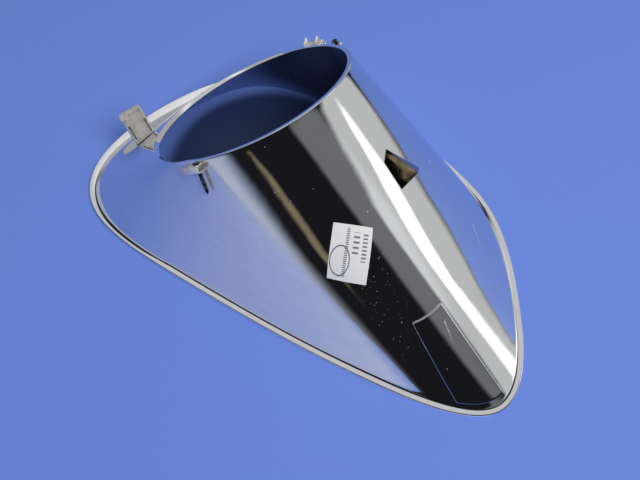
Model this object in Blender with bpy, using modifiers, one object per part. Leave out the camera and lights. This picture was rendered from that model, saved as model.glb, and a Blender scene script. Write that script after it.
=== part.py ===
"""A chrome-plated cowl vent: an open moulded scoop with a flanged egg-shaped foot and a round leaning mouth.

Metres, +Z up. The flange's underside lies on z = 0, +X points to the narrow nose, and the mouth faces -X and up.
The scoop's walls are ruled: straight lines run from the foot to the mouth, and each is offset inwards for the
wall's inner face, so the wall has one thickness all round.
"""

import math

import bmesh
import bpy
from mathutils import Matrix, Vector
from mathutils.bvhtree import BVHTree

# Foot: control points of a closed smooth curve, the flange's edge seen from above
OUTLINE = [
    (0.140, -0.014), (0.090, 0.043), (0.056, 0.069), (0.032, 0.075), (-0.012, 0.078), (-0.053, 0.067),
    (-0.105, 0.051), (-0.121, 0.000), (-0.120, -0.055), (-0.091, -0.082), (-0.029, -0.068),
    (0.017, -0.057), (0.065, -0.043),
]
STEPS = 16                    # stations between two control points
FLANGE_WIDTH = 0.0030
WIDE_FLANGE = 0.0088          # at its widest, behind the mouth
WIDE_SPAN = (5.2, 9.8)        # where it widens, counted in control points
FLANGE_THICK = 0.0018
WALL = 0.0022
RIM_WIDTH = 0.0030            # the most that the rim's face may measure across

# Mouth
MOUTH_CENTRE = Vector((-0.0555, 0.0063, 0.0482))
MOUTH_RADIUS = 0.0515
MOUTH_RISE = math.radians(55.5)   # how far the mouth's axis rises above level

GAP = 0.0003                  # clearance between two pieces that touch
REACH = 0.012                 # how far a cutter runs past what it cuts

# Lugs for fasteners, below the rim: the angle round the mouth and the span along the rim
NEAR_LUG = math.radians(-64)
NEAR_SPAN = (-0.0036, 0.0060)
FAR_LUG = math.radians(105.5)
FAR_SPAN = (-0.0062, 0.0062)
SCREW_LUG = math.radians(86.5)
SCREW_SPAN = (-0.0028, 0.0028)
LUG_OUT = 0.0036
LUG_TOP = 0.0018              # below the rim
LUG_THICK = 0.0016
STRIP = 0.0007                # spring strip

SCREW_OUT = 0.0021            # a screw's axis, out from the wall
SHAFT_RADIUS = 0.0011
HOLE_RADIUS = 0.0014
HEAD_RADIUS = 0.0016
HEAD_HEIGHT = 0.0009
NEAR_SCREW_ALONG = -0.0017
SCREW_LENGTH = 0.0145

FAR_EAR_ALONG = (-0.0048, 0.0028)
FAR_EAR_RISE = 0.0014         # above the rim
FAR_EAR_OUT = 0.0052

# Tower clip beside the mouth's low side: a folded strip, open on top
TOWER_AT = (-0.0985, -0.0318)   # its middle, seen from above
TOWER_TURN = math.radians(14)
TOWER_WIDTH = 0.0118
TOWER_DEPTH = 0.0060
TOWER_FRONT = 0.0140
TOWER_BACK = 0.0165
TOWER_STRIP = 0.0010
TOWER_SLOT = (0.0010, 0.0075)   # width and height of a slot beside the front leaf

# Catch on the far side of the crest, and the plate on the nose: corners seen from above
CATCH_PLAN = [(0.0135, 0.0246), (0.0248, 0.0360), (0.0296, 0.0183), (0.0176, 0.0192)]
CATCH_PEAK = (0.0272, 0.0275)
CATCH_HEIGHT = 0.0042
PLATE_PLAN = [(0.0694, -0.0158), (0.0721, -0.0012), (0.1140, -0.0038), (0.1030, -0.0208)]
PLATE_THICK = 0.0011

LABEL_AT = (0.0341, -0.0184)
LABEL_SIZE = (0.0247, 0.0172)   # down the slope and across it
LABEL_TURN = math.radians(-6)
LABEL_THICK = 0.0002

UP = Vector((0, 0, 1))
MOUTH_AXIS = Vector((-math.cos(MOUTH_RISE), 0, math.sin(MOUTH_RISE)))
MOUTH_U = Vector((math.sin(MOUTH_RISE), 0, math.cos(MOUTH_RISE)))   # to the rim's highest point
MOUTH_V = Vector((0, 1, 0))


def clear_scene():
    for obj in list(bpy.data.objects):
        bpy.data.objects.remove(obj)


def collection(name):
    made = bpy.data.collections.new(name)
    bpy.context.scene.collection.children.link(made)
    return made


def material(name, color, roughness, metallic):
    made = bpy.data.materials.new(name)
    made.use_nodes = True
    shader = made.node_tree.nodes["Principled BSDF"]
    shader.inputs["Base Color"].default_value = (*color, 1.0)
    shader.inputs["Roughness"].default_value = roughness
    shader.inputs["Metallic"].default_value = metallic
    return made


def add_object(name, mesh, group, finish=None):
    obj = bpy.data.objects.new(name, mesh)
    group.objects.link(obj)
    if finish:
        mesh.materials.append(finish)
    else:
        obj.hide_render = True
        obj.display_type = "WIRE"
    return obj


def mesh_from(name, bm):
    mesh = bpy.data.meshes.new(name)
    bm.to_mesh(mesh)
    bm.free()
    return mesh


# --- the ruled scoop -------------------------------------------------------------------------------------------

def outline(steps):
    """Points of the closed cubic curve through the foot's control points, with the outward direction at each."""
    count = len(OUTLINE)
    points = []
    for i in range(count):
        p0, p1, p2, p3 = (Vector((*OUTLINE[(i + k - 1) % count], 0)) for k in range(4))
        for k in range(steps):
            t = k / steps
            point = (p0 * (1 - t) ** 3 + p1 * (3 * t**3 - 6 * t**2 + 4)
                     + p2 * (3 * t + 3 * t**2 - 3 * t**3 + 1) + p3 * t**3) / 6
            along = (-p0 * (1 - t) ** 2 + p1 * (3 * t**2 - 4 * t) + p2 * (1 + 2 * t - 3 * t**2) + p3 * t**2) / 2
            points.append((point, along.cross(UP).normalized()))
    return points


def flange_width(place):
    """The flange's width at a place, counted in control points: wide behind the mouth, narrow elsewhere."""
    low, high = WIDE_SPAN
    share = (place - low) / (high - low)
    return FLANGE_WIDTH + (WIDE_FLANGE - FLANGE_WIDTH) * (math.sin(math.pi * share) ** 2 if 0 < share < 1 else 0)


def rim_point(angle):
    return MOUTH_CENTRE + MOUTH_RADIUS * (math.cos(angle) * MOUTH_U + math.sin(angle) * MOUTH_V)


def rim_angle(foot, outward):
    """Where a plane through the foot's tangent touches the rim: there the wall bulges out the least."""
    reach = (MOUTH_CENTRE - foot).dot(outward)
    height = MOUTH_CENTRE.z - foot.z
    reach_u, reach_v = MOUTH_RADIUS * MOUTH_U.dot(outward), MOUTH_RADIUS * MOUTH_V.dot(outward)
    height_u = MOUTH_RADIUS * MOUTH_U.z
    sine, cosine, level = reach * height_u - reach_u * height, reach_v * height, reach_v * height_u
    turn = math.atan2(cosine, sine)
    rise = math.asin(-level / math.hypot(sine, cosine))

    def lean(angle):
        across = reach + reach_u * math.cos(angle) + reach_v * math.sin(angle)
        return across / (height + height_u * math.cos(angle))

    return max(rise - turn, math.pi - rise - turn, key=lean)


def stations():
    """For each place round the foot: the flange's edge, the wall's foot, the rim's angle and the wall's normal."""
    edges = outline(STEPS)
    feet = [edge - flange_width(i / STEPS) * outward + FLANGE_THICK * UP
            for i, (edge, outward) in enumerate(edges)]
    found = []
    for i, (edge, _) in enumerate(edges):
        foot = feet[i]
        outward = (feet[(i + 1) % len(feet)] - feet[i - 1]).cross(UP).normalized()
        angle = rim_angle(foot, outward)
        line = rim_point(angle) - foot
        normal = UP.cross(outward).cross(line).normalized()
        if normal.dot(outward) < 0:
            normal.negate()
        found.append((edge, foot, angle, normal))
    return found


def offset_line(foot, angle, normal, distance, floor, past_rim=0.0):
    """The wall's line moved along its normal, cut at a height and at the mouth's plane or past it."""
    start = foot + distance * normal
    line = rim_point(angle) - foot
    low = start + line * ((floor - start.z) / line.z)
    top = (MOUTH_CENTRE + past_rim * MOUTH_AXIS - start).dot(MOUTH_AXIS) / line.dot(MOUTH_AXIS)
    return low, start + line * top


def inner_line(foot, angle, normal):
    """The wall's inner face along one station, with its top slid back where the mouth cuts the wall at a slant."""
    low, high = offset_line(foot, angle, normal, -WALL, 0.0)
    rim = rim_point(angle)
    along = (rim - foot).normalized()
    limit = math.sqrt(RIM_WIDTH**2 - WALL**2)
    slide = max(-limit, min(limit, (high - rim).dot(along)))
    return low, rim - WALL * normal + slide * along


def bridge(bm, loops, closed):
    rings = [[bm.verts.new(point) for point in loop] for loop in loops]
    pairs = list(zip(rings, rings[1:]))
    if closed:
        pairs.append((rings[-1], rings[0]))
    for low, high in pairs:
        for i in range(len(low)):
            j = (i + 1) % len(low)
            bm.faces.new((low[i], low[j], high[j], high[i]))
    return rings


def scoop_mesh():
    """The wall with its flange: one closed ring of faces round a section of six corners."""
    loops = [[] for _ in range(6)]
    for edge, foot, angle, normal in stations():
        inner_foot, inner_rim = inner_line(foot, angle, normal)
        corners = (edge, edge + FLANGE_THICK * UP, foot, rim_point(angle), inner_rim, inner_foot)
        for loop, corner in zip(loops, corners):
            loop.append(corner)
    bm = bmesh.new()
    bridge(bm, loops, closed=True)
    return mesh_from("cowl_shell", bm)


def filled_scoop(name, distance, group):
    """The space inside the wall's outer face moved out by a distance, running past the foot and the mouth."""
    loops = ([], [])
    for _, foot, angle, normal in stations():
        for loop, corner in zip(loops, offset_line(foot, angle, normal, distance, FLANGE_THICK + GAP, REACH)):
            loop.append(corner)
    bm = bmesh.new()
    low, high = bridge(bm, loops, closed=False)
    bm.faces.new(reversed(low))
    bm.faces.new(high)
    return add_object(name, mesh_from(name, bm), group)


# --- frames on the scoop ----------------------------------------------------------------------------------------

def rim_frame(angle):
    """X along the rim, Y out from the wall, Z up the wall, with its origin on the rim."""
    nearest = min(stations(), key=lambda s: abs(math.remainder(s[2] - angle, math.tau)))
    out = nearest[3]
    up_wall = (MOUTH_AXIS - MOUTH_AXIS.dot(out) * out).normalized()
    return placed(rim_point(angle), out.cross(up_wall), out, up_wall)


def placed(origin, x_axis, y_axis, z_axis):
    matrix = Matrix((x_axis, y_axis, z_axis)).transposed().to_4x4()
    matrix.translation = origin
    return matrix


def seat(skin, x, y):
    """The point of the wall over a place on the plan, and the wall's normal there."""
    point, normal, _, _ = skin.ray_cast(Vector((x, y, 1)), -UP)
    return point, normal


# --- solids and joins ------------------------------------------------------------------------------------------

def block(low, high, matrix):
    size = Vector(high) - Vector(low)
    middle = (Vector(high) + Vector(low)) / 2
    bm = bmesh.new()
    bmesh.ops.create_cube(bm, size=1.0, matrix=matrix @ Matrix.Translation(middle) @ Matrix.Diagonal((*size, 1)))
    return bm


def rod(radius, bottom, top, matrix, sides=24):
    bm = bmesh.new()
    at = matrix @ Matrix.Translation((0, 0, (bottom + top) / 2))
    bmesh.ops.create_cone(bm, cap_ends=True, segments=sides, radius1=radius, radius2=radius,
                          depth=top - bottom, matrix=at)
    return bm


def prism(corners, depth):
    """A flat outline pushed along a direction; the corners run anticlockwise seen against it."""
    bm = bmesh.new()
    face = bm.faces.new([bm.verts.new(corner) for corner in corners])
    pushed = bmesh.ops.extrude_face_region(bm, geom=[face])
    verts = [item for item in pushed["geom"] if isinstance(item, bmesh.types.BMVert)]
    bmesh.ops.translate(bm, verts=verts, vec=depth)
    bmesh.ops.recalc_face_normals(bm, faces=bm.faces)
    return bm


def helper(name, bm, group):
    return add_object(name, mesh_from(name, bm), group)


def combine(obj, other, operation):
    boolean = obj.modifiers.new(f"{operation.lower()} {other.name}", "BOOLEAN")
    boolean.operation = operation
    boolean.object = other


# --- pieces ----------------------------------------------------------------------------------------------------

def make_shell(parts, cutters, finish, near, far, screw):
    shell = add_object("cowl_shell", scoop_mesh(), parts, finish)
    for name, frame, span, along in (("near", near, NEAR_SPAN, NEAR_SCREW_ALONG), ("far", far, FAR_SPAN, None),
                                     ("screw", screw, SCREW_SPAN, 0.0)):
        low, high = (span[0], -WALL / 2, -LUG_TOP - LUG_THICK), (span[1], LUG_OUT, -LUG_TOP)
        combine(shell, helper(f"{name}_lug_shape", block(low, high, frame), cutters), "UNION")
        if along is not None:
            hole = rod(HOLE_RADIUS, -REACH, 0, frame @ Matrix.Translation((along, SCREW_OUT, 0)))
            combine(shell, helper(f"{name}_lug_hole", hole, cutters), "DIFFERENCE")
    return shell


def strip_clip(name, parts, cutters, finish, frame, span, along):
    """A strip folded over the lug: two leaves and the fold between them, with a hole for the screw."""
    top, bottom = -LUG_TOP + GAP, -LUG_TOP - LUG_THICK - GAP
    fold = LUG_OUT + GAP
    outer = block((span[0], GAP, bottom - STRIP), (span[1], fold + STRIP, top + STRIP), frame)
    clip = add_object(name, mesh_from(name, outer), parts, finish)
    room = block((span[0] - REACH, -REACH, bottom), (span[1] + REACH, fold, top), frame)
    combine(clip, helper(f"{name}_room", room, cutters), "DIFFERENCE")
    if along is not None:
        hole = rod(HOLE_RADIUS, -REACH, REACH, frame @ Matrix.Translation((along, SCREW_OUT, 0)))
        combine(clip, helper(f"{name}_hole", hole, cutters), "DIFFERENCE")
    return clip


def add_ears(clip, cutters, frame):
    """Two upright ears on the far clip, low at the rim and tall at their outer ends."""
    top = -LUG_TOP + GAP + STRIP / 2
    for i, along in enumerate(FAR_EAR_ALONG):
        side = [(2 * GAP, top), (FAR_EAR_OUT, top), (FAR_EAR_OUT, FAR_EAR_RISE),
                (FAR_EAR_OUT - STRIP, FAR_EAR_RISE), (2 * GAP, GAP)]
        corners = [frame @ Vector((along - STRIP / 2, y, z)) for y, z in side]
        ear = prism(corners, STRIP * frame.col[0].to_3d())
        combine(clip, helper(f"far_ear_{i}", ear, cutters), "UNION")


def make_screw(name, parts, finish, frame, along):
    """A turned screw standing in the lug, its head over the clip."""
    head_low = -LUG_TOP + 2 * GAP + STRIP
    profile = [(0, head_low + HEAD_HEIGHT), (0.7 * HEAD_RADIUS, head_low + HEAD_HEIGHT),
               (HEAD_RADIUS, head_low + 0.5 * HEAD_HEIGHT), (HEAD_RADIUS, head_low), (SHAFT_RADIUS, head_low),
               (SHAFT_RADIUS, -SCREW_LENGTH + SHAFT_RADIUS), (0.4 * SHAFT_RADIUS, -SCREW_LENGTH),
               (0, -SCREW_LENGTH)]
    bm = bmesh.new()
    verts = [bm.verts.new((x, 0, z)) for x, z in profile]
    for first, second in zip(verts, verts[1:]):
        bm.edges.new((first, second))
    screw = add_object(name, mesh_from(name, bm), parts, finish)
    screw.matrix_world = frame @ Matrix.Translation((along, SCREW_OUT, 0))
    turn = screw.modifiers.new("turn", "SCREW")
    turn.steps = turn.render_steps = 24
    turn.use_merge_vertices = True
    turn.merge_threshold = 0.00001
    return screw


def tower_frame(skin):
    point, _ = seat(skin, *TOWER_AT)
    across = math.sin(TOWER_TURN) * MOUTH_U + math.cos(TOWER_TURN) * MOUTH_V
    return placed(point, across, MOUTH_AXIS.cross(across), MOUTH_AXIS)


def make_tower(parts, cutters, finish, skin, clearance):
    """A tall folded clip beside the mouth: a hollow box with a slot on each side of its front leaf."""
    frame = tower_frame(skin)
    half, deep = TOWER_WIDTH / 2, TOWER_DEPTH / 2
    outer = block((-half, -deep, -REACH), (half, deep, TOWER_BACK), frame)
    tower = add_object("tower_clip", mesh_from("tower_clip", outer), parts, finish)
    inner = block((-half + TOWER_STRIP, -deep + TOWER_STRIP, -2 * REACH),
                  (half - TOWER_STRIP, deep - TOWER_STRIP, TOWER_BACK + REACH), frame)
    combine(tower, helper("tower_room", inner, cutters), "DIFFERENCE")
    step = block((-half - REACH, -deep - REACH, TOWER_FRONT), (half + REACH, deep - TOWER_STRIP, 2 * REACH), frame)
    combine(tower, helper("tower_step", step, cutters), "DIFFERENCE")
    width, height = TOWER_SLOT
    for i, side in enumerate((-1, 1)):
        x = side * (half - TOWER_STRIP - width)
        slot = block((x - width / 2, -deep - REACH, 0.0020), (x + width / 2, 0, 0.0020 + height), frame)
        combine(tower, helper(f"tower_slot_{i}", slot, cutters), "DIFFERENCE")
    combine(tower, clearance, "DIFFERENCE")
    return tower


def make_catch(parts, finish, skin, clearance):
    """A wedge on the crest: four corners on the wall and one raised peak."""
    bm = bmesh.new()
    for x, y in CATCH_PLAN:
        point, normal = seat(skin, x, y)
        bm.verts.new(point + GAP * normal)
        bm.verts.new(point - WALL * normal)
    peak, normal = seat(skin, *CATCH_PEAK)
    bm.verts.new(peak + CATCH_HEIGHT * normal)
    bmesh.ops.convex_hull(bm, input=bm.verts)
    catch = add_object("side_catch", mesh_from("side_catch", bm), parts, finish)
    combine(catch, clearance, "DIFFERENCE")
    return catch


def make_plate(parts, finish, outer, clearance):
    """A thin plate that follows the nose, cut from the layer between two skins over the wall."""
    plate = add_object("nose_plate", mesh_from("nose_plate", prism(
        [Vector((x, y, 0)) for x, y in PLATE_PLAN], 0.05 * UP)), parts, finish)
    combine(plate, outer, "INTERSECT")
    combine(plate, clearance, "DIFFERENCE")
    return plate


def make_label(parts, finish, skin, outer, clearance):
    point, normal = seat(skin, *LABEL_AT)
    down = (UP.dot(normal) * normal - UP).normalized()
    down.rotate(Matrix.Rotation(LABEL_TURN, 3, normal))
    frame = placed(point, down, normal.cross(down), normal)
    half = (LABEL_SIZE[0] / 2, LABEL_SIZE[1] / 2, REACH / 2)
    label = add_object("label", mesh_from("label", block([-h for h in half], half, frame)), parts, finish)
    combine(label, outer, "INTERSECT")
    combine(label, clearance, "DIFFERENCE")
    return label


def main():
    clear_scene()
    parts, cutters = collection("cowl_vent"), collection("cutters")
    chrome = material("chrome", (0.80, 0.82, 0.85), 0.06, 1.0)
    spring = material("spring_steel", (0.74, 0.74, 0.72), 0.22, 1.0)
    dark = material("dark_steel", (0.05, 0.05, 0.06), 0.35, 1.0)
    paper = material("paper", (0.86, 0.87, 0.88), 0.7, 0.0)

    near, far, screw = rim_frame(NEAR_LUG), rim_frame(FAR_LUG), rim_frame(SCREW_LUG)
    clearance = filled_scoop("clearance", GAP, cutters)
    plate_skin = filled_scoop("plate_skin", GAP + PLATE_THICK, cutters)
    label_skin = filled_scoop("label_skin", GAP + LABEL_THICK, cutters)
    mesh = clearance.data
    skin = BVHTree.FromPolygons([v.co for v in mesh.vertices], [p.vertices for p in mesh.polygons])

    make_shell(parts, cutters, chrome, near, far, screw)
    strip_clip("near_clip", parts, cutters, spring, near, NEAR_SPAN, NEAR_SCREW_ALONG)
    far_clip = strip_clip("far_clip", parts, cutters, spring, far, FAR_SPAN, None)
    add_ears(far_clip, cutters, far)
    make_screw("near_screw", parts, dark, near, NEAR_SCREW_ALONG)
    make_screw("far_screw", parts, dark, screw, 0.0)
    make_tower(parts, cutters, spring, skin, clearance)
    make_catch(parts, chrome, skin, clearance)
    make_plate(parts, chrome, plate_skin, clearance)
    make_label(parts, paper, skin, label_skin, clearance)


main()
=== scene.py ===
"""The looks of a chrome cowl vent: a fine shell, its clips, screws, catch, plate and label, on a plain stage.

Metres, +Z up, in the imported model's frame. The wall of the scoop is ruled: straight lines run from the foot
to the mouth's rim, and every piece that lies on the wall takes its place and its direction from those lines.
"""

import math

import bpy
import numpy as np
from mathutils import Matrix, Vector


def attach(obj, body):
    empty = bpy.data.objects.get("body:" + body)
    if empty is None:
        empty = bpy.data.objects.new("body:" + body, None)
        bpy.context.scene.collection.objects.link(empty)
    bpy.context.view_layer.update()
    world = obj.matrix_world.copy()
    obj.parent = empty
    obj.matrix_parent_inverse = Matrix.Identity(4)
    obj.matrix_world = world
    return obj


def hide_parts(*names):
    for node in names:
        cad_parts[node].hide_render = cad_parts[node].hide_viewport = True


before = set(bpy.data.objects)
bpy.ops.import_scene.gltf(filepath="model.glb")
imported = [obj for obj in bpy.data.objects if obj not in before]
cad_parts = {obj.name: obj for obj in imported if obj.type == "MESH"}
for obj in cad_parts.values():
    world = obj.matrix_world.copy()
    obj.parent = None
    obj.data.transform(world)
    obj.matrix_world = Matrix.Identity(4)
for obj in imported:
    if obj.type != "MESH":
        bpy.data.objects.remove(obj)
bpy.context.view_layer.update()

bl_info = {
    "name": "Cowl Vent",
    "version": (1, 0, 0),
    "blender": (4, 5, 0),
    "location": "View3D > Sidebar > Cowl Vent",
    "description": "Builds a chrome cowl vent with its clips, screws and label",
    "category": "Add Mesh",
}

# The foot's outline, seen from above: control points of a closed smooth curve
OUTLINE = [
    (0.140, -0.014), (0.090, 0.043), (0.056, 0.069), (0.032, 0.075), (-0.012, 0.078), (-0.053, 0.067),
    (-0.105, 0.051), (-0.121, 0.000), (-0.120, -0.055), (-0.091, -0.082), (-0.029, -0.068),
    (0.017, -0.057), (0.065, -0.043),
]
TURN_STEPS = 8                # faces across one rounded corner of the wall's section
WIDE_SPAN = (5.2, 9.8)        # where the flange widens, counted in control points
FLARE_SPAN = (6.4, 9.9)       # where the wall flares out into the flange
MOUTH_CENTRE = Vector((-0.0555, 0.0063, 0.0482))
MOUTH_RADIUS = 0.0515
MOUTH_RISE = math.radians(55.5)
MOUTH_AXIS = Vector((-math.cos(MOUTH_RISE), 0, math.sin(MOUTH_RISE)))
MOUTH_U = Vector((math.sin(MOUTH_RISE), 0, math.cos(MOUTH_RISE)))
MOUTH_V = Vector((0, 1, 0))
UP = Vector((0, 0, 1))

# Fasteners round the rim: the angle round the mouth, and places along the rim
NEAR_LUG = math.radians(-64)
NEAR_SPAN = (-0.0036, 0.0060)
NEAR_SCREW_ALONG = -0.0017
FAR_LUG = math.radians(105.5)
FAR_SPAN = (-0.0062, 0.0062)
FAR_EAR_ALONG = (-0.0048, 0.0028)
FAR_EAR_IN = 0.0006
FAR_EAR_OUT = 0.0052
FAR_EAR_RISE = 0.0014
FAR_EAR_SLOPE_START = (0.0012, 0.0003)
SCREW_LUG = math.radians(86.5)
SCREW_SPAN = (-0.0028, 0.0028)
LUG_OUT = 0.0036
LUG_TOP = 0.0018
LUG_THICK = 0.0016
GAP = 0.0003                  # the room left between two pieces

TOWER_AT = (-0.0985, -0.0318)
TOWER_TURN = math.radians(14)
TOWER_FOOT = 0.008            # how far the tall clip starts below its place before it is cut
TOWER_BENDS = (0.0014, 0.0006)  # reach of its rounding, outside and inside
TOWER_LIP = 0.0005            # how far its corners run past its back leaf
SLOT_START = 0.0020
PAST = 0.02                   # how far a cutting block reaches past the piece, and how tall it is
TALL = 0.05
CATCH_PLAN = [(0.0135, 0.0246), (0.0248, 0.0360), (0.0296, 0.0183), (0.0176, 0.0192)]
CATCH_PEAK = (0.0272, 0.0275)
PLATE_PLAN = [(0.0694, -0.0158), (0.0721, -0.0012), (0.1140, -0.0038), (0.1030, -0.0208)]
LABEL_AT = (0.0341, -0.0184)
LABEL_TURN = math.radians(-6)

# The inner face, as shares of the way round the wall's section, and the most dusty stretch of the outside
INSIDE = (0.768, 0.965)
DUSTY_STRETCH = ((0.040, -0.014, 0.041), (0.080, -0.026, 0.014))
DUSTY_WIDTH = 0.0190

# Scratches: from and to on the plan, width, and the share of the line that is broken up
SHELL_SCRATCHES = [
    ((-0.0291, -0.0359), (-0.0055, -0.0429), 0.00020, 0.52),
    ((0.0547, 0.0454), (0.0686, 0.0374), 0.00034, 0.36),
    ((0.0438, 0.0631), (0.0518, 0.0513), 0.00016, 0.50),
    ((0.0229, 0.0465), (0.0240, 0.0471), 0.00050, 0.30),
    ((-0.0728, -0.0481), (-0.0636, -0.0564), 0.00030, 0.42),
]
# On the nose plate the lines along two of its edges are painted highlights; the first is a pale line across
# it
PLATE_SCRATCHES_AND_HIGHLIGHTS = [
    ((0.0779, -0.0051), (0.0964, -0.0109), 0.00034, 0.38),
    (PLATE_PLAN[0], PLATE_PLAN[1], 0.00060, 0.20),
    (PLATE_PLAN[0], PLATE_PLAN[3], 0.00026, 0.50),
]

# The label's rows of bars: middle and half height, bars to the label's length, their fill, first and last bar
LABEL_ROWS = [
    (0.84, 0.060, 15.0, 0.50, 0.10, 0.62),
    (0.62, 0.075, 11.0, 0.42, 0.12, 0.50),
    (0.40, 0.040, 27.0, 0.58, 0.05, 0.93),
]

# The pen loop on the label: its middle and reach, down and across
LOOP_MIDDLE = (0.64, 0.27)
LOOP_REACH = (0.27, 0.24)

# Camera and directions as the camera has them: to its right, and away from it, both level
CAMERA_AT = Vector((0.1262, -0.1267, 0.3012))
CAMERA_AIM = Vector((0.0024, -0.0047, 0.0))
CAMERA_LENS = 39.375
AWAY = Vector((CAMERA_AIM.x - CAMERA_AT.x, CAMERA_AIM.y - CAMERA_AT.y, 0)).normalized()
RIGHT = AWAY.cross(UP)
KEY_FROM = (RIGHT * 0.42 - AWAY * 0.42 + UP * 0.90).normalized()
ROOM = (0.010, 0.010, 0.012)  # the dim room round the stage
# Middle of the painted shade on the floor below the mouth
SHADE_AT = (MOUTH_CENTRE.x + 0.006, MOUTH_CENTRE.y, 0)


# --- values that a user would change -----------------------------------------------------------------------

def length(name, description, default, high=0.05):
    return bpy.props.FloatProperty(name=name, description=description, default=default, min=0.0, max=high,
                                   unit="LENGTH", subtype="DISTANCE", precision=5)


def colour(name, description, default):
    return bpy.props.FloatVectorProperty(name=name, description=description, default=default, size=3,
                                         min=0.0, max=1.0, subtype="COLOR")


def factor(name, description, default):
    return bpy.props.FloatProperty(name=name, description=description, default=default, min=0.0, max=1.0,
                                   subtype="FACTOR")


class CowlShellSizes(bpy.types.PropertyGroup):
    flange_width: length("Flange width", "How far the foot's flange stands out from the wall", 0.0030)
    wide_flange: length("Wide flange", "The flange's width at its widest, behind the mouth", 0.0088)
    flange_thick: length("Flange thickness", "Thickness of the foot's flange", 0.0018)
    wall: length("Wall", "Thickness of the scoop's wall", 0.0022)
    rim_width: length("Rim width", "The most that the rim's face measures across", 0.0030)
    fillet: length("Fillet", "Reach of the fillet between the flange and the wall", 0.0009)
    flare: factor("Flare", "Share of the wall taken up by the flare at the back", 0.58)
    flare_out: factor("Flare on the flange", "Share of the flange taken up by the flare at the back", 0.62)
    edge_round: length("Edge rounding", "Reach of the rounding of the flange's and rim's edges", 0.0005)
    support: length("Support", "How far from a rounded corner the rows that keep it crisp stand", 0.0025)
    stations: bpy.props.IntProperty(name="Stations", description="Ruled lines between two outline points",
                                    default=40, min=8, max=80)


class CowlClipSizes(bpy.types.PropertyGroup):
    strip: length("Strip", "Thickness of the rim clips' spring strip", 0.0007)
    bend: length("Bend", "Reach of a rim clip's bends", 0.0007)
    end_gap: length("End gap", "How far a rim clip's ends stop short of the wall's gap", 0.0001)
    edge: length("Edge rounding", "Reach of the rounding of a rim clip's edges", 0.00012)
    tower_width: length("Tower width", "Width of the tall clip", 0.0118)
    tower_depth: length("Tower depth", "Depth of the tall clip", 0.0060)
    tower_front: length("Tower front", "Height of the tall clip's front leaf", 0.0140)
    tower_back: length("Tower back", "Height of the tall clip's back leaf", 0.0165)
    tower_strip: length("Tower strip", "Thickness of the tall clip's strip", 0.0009)
    slot_width: length("Slot width", "Width of a slot beside the front leaf", 0.0010)
    slot_height: length("Slot height", "Height of a slot beside the front leaf", 0.0080)


class CowlScrewSizes(bpy.types.PropertyGroup):
    out: length("Screw out", "How far a screw's axis stands from the wall", 0.0021)
    core: length("Core radius", "Radius of the shaft between the threads", 0.00080)
    crest: length("Thread radius", "Radius of the thread's crest", 0.00108)
    pitch: length("Pitch", "Rise of the thread in one turn", 0.00085)
    slot: length("Slot", "Width of the cross cut in a screw's head", 0.00064)
    head: length("Head radius", "Radius of the screw's head", 0.0016)
    head_height: length("Head height", "Height of the screw's head", 0.0009)
    plain_neck: length("Plain neck", "Length without a thread under a screw's head", 0.0016)
    shaft: length("Length", "Length of the screw below the rim", 0.0145)
    hole: length("Hole radius", "Radius of the hole through the lug", 0.0014)


class CowlSkinSizes(bpy.types.PropertyGroup):
    plate_thick: length("Plate thickness", "Thickness of the plate on the nose", 0.0011)
    plate_lift: length("Plate lift", "How far the plate's loose corner stands off the wall", 0.0009)
    label_long: length("Label length", "Length of the label down the slope", 0.0247)
    label_wide: length("Label width", "Width of the label across the slope", 0.0172)
    label_thick: length("Label thickness", "Thickness of the paper", 0.0002)
    catch_foot: length("Catch foot", "How far the catch's feet are let into the wall", 0.0006)
    catch_height: length("Catch height", "How far the catch's peak stands from the wall", 0.0042)


class CowlFinish(bpy.types.PropertyGroup):
    chrome: colour("Chrome", "Tint of the chrome plate", (0.83, 0.84, 0.86))
    # The inside's tint is partly thin, dull plating and partly painted shade
    inside_plating_and_shade: colour("Inside", "Tint of the thin plating on the inside", (0.42, 0.45, 0.56))
    # The next colour is a painted reflection, laid pale on the near side's wall
    pale_painted_reflection: colour("Film", "Colour of the thin film on the near side", (0.80, 0.82, 0.86))
    chrome_dull: colour("Dull chrome", "Tint of the chrome where it is handled", (0.74, 0.74, 0.76))
    # The catch's tints: brownish, partly stain and partly painted reflection; near-black, painted shade
    catch_brown_stain_and_reflection: colour("Brown catch", "Tint of the catch's brownish stains", (0.30, 0.24, 0.13))
    catch_painted_shade: colour("Black catch", "Tint of the catch's darkest faces", (0.012, 0.011, 0.010))
    spring: colour("Spring steel", "Colour of the bright strip", (0.88, 0.86, 0.80))
    spring_dull: colour("Dull strip", "Colour of the strip where it is stained", (0.42, 0.40, 0.36))
    dark: colour("Dark steel", "Colour of the blackened screws", (0.018, 0.018, 0.022))
    worn: colour("Worn steel", "Colour of the bare metal on the threads' crests", (0.42, 0.41, 0.39))
    paper: colour("Paper", "Colour of the label", (0.70, 0.69, 0.68))
    paper_fibre: colour("Paper fibre", "Colour of the label's fibres", (0.62, 0.64, 0.68))
    ink: colour("Ink", "Colour of the label's printed marks", (0.10, 0.10, 0.13))
    dust: factor("Dust", "How much dust and how many fine marks lie on the chrome", 0.6)


class CowlStage(bpy.types.PropertyGroup):
    floor: colour("Floor", "Colour of the plain floor", (0.155, 0.257, 0.735))
    floor_size: length("Floor size", "Side of the square floor", 4.0, high=10.0)
    # The floor's darkening below the mouth is painted shade: its strength, and how far it stays whole and
    # reaches
    shade: factor("Shade strength", "How dark the floor is below the mouth", 0.90)
    shade_inner: length("Full shade", "How far the floor's shade below the mouth stays whole", 0.047)
    shade_outer: length("Shade", "How far the floor's shade below the mouth reaches", 0.061)
    key_power: bpy.props.FloatProperty(name="Key power", description="Power of the soft light above",
                                       default=112.0, min=0.0, unit="POWER")
    key_size: length("Key size", "Side of the soft light above", 2.2, high=3.0)
    key_away: length("Key distance", "How far the soft light above stands off", 3.0, high=5.0)


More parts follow.
